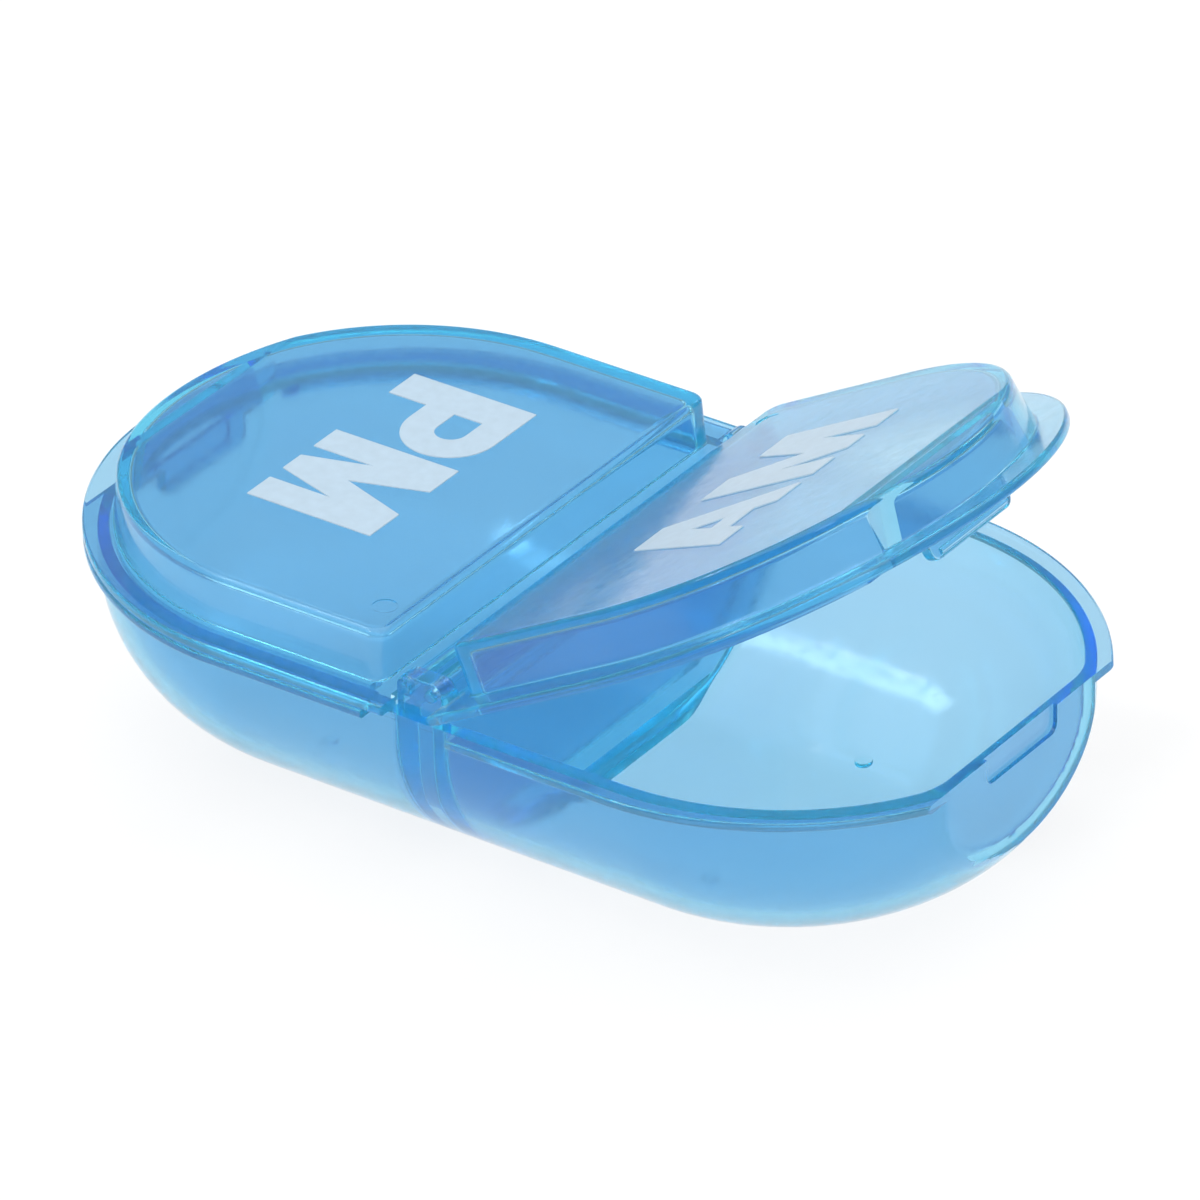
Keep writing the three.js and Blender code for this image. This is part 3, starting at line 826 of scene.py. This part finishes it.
class PILLBOX_OT_studio(bpy.types.Operator):
    """Set the floor, the soft lights and the camera"""

    bl_idname = "pillbox.studio"
    bl_label = "Studio"

    def execute(self, context):
        scene = context.scene
        floor_mesh = bpy.data.meshes.new("floor")
        wide, below = 3.0, -5e-5
        corners = [(x * wide, y * wide, below) for x, y in ((-1, -1), (1, -1), (1, 1), (-1, 1))]
        floor_mesh.from_pydata(corners, [], [(0, 1, 2, 3)])
        floor = bpy.data.objects.new("floor", floor_mesh)
        scene.collection.objects.link(floor)
        paper = bpy.data.materials.new("matt white paper")
        paper.use_nodes = True
        paper.node_tree.nodes.clear()
        tint = (*scene.pill_box_finish.floor, 1)
        sheet = add_node(paper.node_tree, "ShaderNodeBsdfDiffuse", Color=tint)
        add_node(paper.node_tree, "ShaderNodeOutputMaterial", Surface=sheet.outputs[0])
        floor_mesh.materials.append(paper)

        for name, place, size, power in (
            ("ceiling light", (0.0, 0.05, 1.0), 1.6, 10.6),
            ("key light", (-0.35, -0.45, 0.75), 0.14, 0.9),
            ("fill light", (0.65, -0.35, 0.55), 0.14, 0.4),
            ("back light", (0.1, 0.8, 0.6), 0.25, 0.5),
        ):
            lamp = bpy.data.lights.new(name, "AREA")
            lamp.size = size
            lamp.energy = power
            holder = bpy.data.objects.new(name, lamp)
            holder.location = place
            holder.rotation_euler = (-Vector(place)).to_track_quat("-Z", "Y").to_euler()
            scene.collection.objects.link(holder)

        world = bpy.data.worlds.new("white room")
        world.use_nodes = True
        world.node_tree.nodes.clear()
        glow = add_node(world.node_tree, "ShaderNodeBackground", Color=(1, 1, 1, 1), Strength=0.42)
        add_node(world.node_tree, "ShaderNodeOutputWorld", Surface=glow.outputs[0])
        scene.world = world
        scene.view_settings.view_transform = "Standard"
        # Light that enters a wall is turned back inside it many times before it leaves by an edge.
        scene.cycles.max_bounces = 32
        scene.cycles.glossy_bounces = 24
        scene.cycles.transmission_bounces = 32
        scene.cycles.transparent_max_bounces = 32

        lens = bpy.data.cameras.new("camera")
        lens.sensor_width = 36
        lens.lens = 317.16
        lens.clip_start, lens.clip_end = 0.05, 20
        camera = bpy.data.objects.new("camera", lens)
        turn, rise, roll = math.radians(35.84), math.radians(31.07), math.radians(-1.36)
        level = Vector((math.sin(turn), -math.cos(turn), 0))
        back = level * math.cos(rise) + Vector((0, 0, math.sin(rise)))
        right = (-back).cross(Vector((0, 0, 1))).normalized()
        up = right.cross(-back)
        across = math.cos(roll) * right + math.sin(roll) * up
        upright = math.cos(roll) * up - math.sin(roll) * right
        aim, distance = Vector((0.005701, -0.006739, 0.02227)), 0.89099
        place = aim + back * distance
        camera.matrix_world = Matrix(
            [
                (across.x, upright.x, back.x, place.x),
                (across.y, upright.y, back.y, place.y),
                (across.z, upright.z, back.z, place.z),
                (0, 0, 0, 1),
            ]
        )
        scene.collection.objects.link(camera)
        scene.camera = camera
        return {"FINISHED"}


class PILLBOX_PT_panel(bpy.types.Panel):
    """Lists the steps that build the pill box"""

    bl_idname = "PILLBOX_PT_panel"
    bl_label = "Pill box"
    bl_space_type = "VIEW_3D"
    bl_region_type = "UI"
    bl_category = "Pill box"

    def draw(self, context):
        for step in STEPS:
            self.layout.operator(step.bl_idname)


STEPS = (PILLBOX_OT_tray, PILLBOX_OT_lids, PILLBOX_OT_letters, PILLBOX_OT_studio)
CLASSES = (*SETTINGS.values(), *STEPS, PILLBOX_PT_panel)


def register():
    for made in CLASSES:
        bpy.utils.register_class(made)
    for name, group in SETTINGS.items():
        setattr(bpy.types.Scene, name, bpy.props.PointerProperty(type=group))


def unregister():
    for name in SETTINGS:
        delattr(bpy.types.Scene, name)
    for made in reversed(CLASSES):
        bpy.utils.unregister_class(made)


def main():
    register()
    bpy.ops.pillbox.tray()
    bpy.ops.pillbox.lids()
    bpy.ops.pillbox.letters()
    bpy.ops.pillbox.studio()
    bpy.context.view_layer.update()


if __name__ == "__main__":
    main()
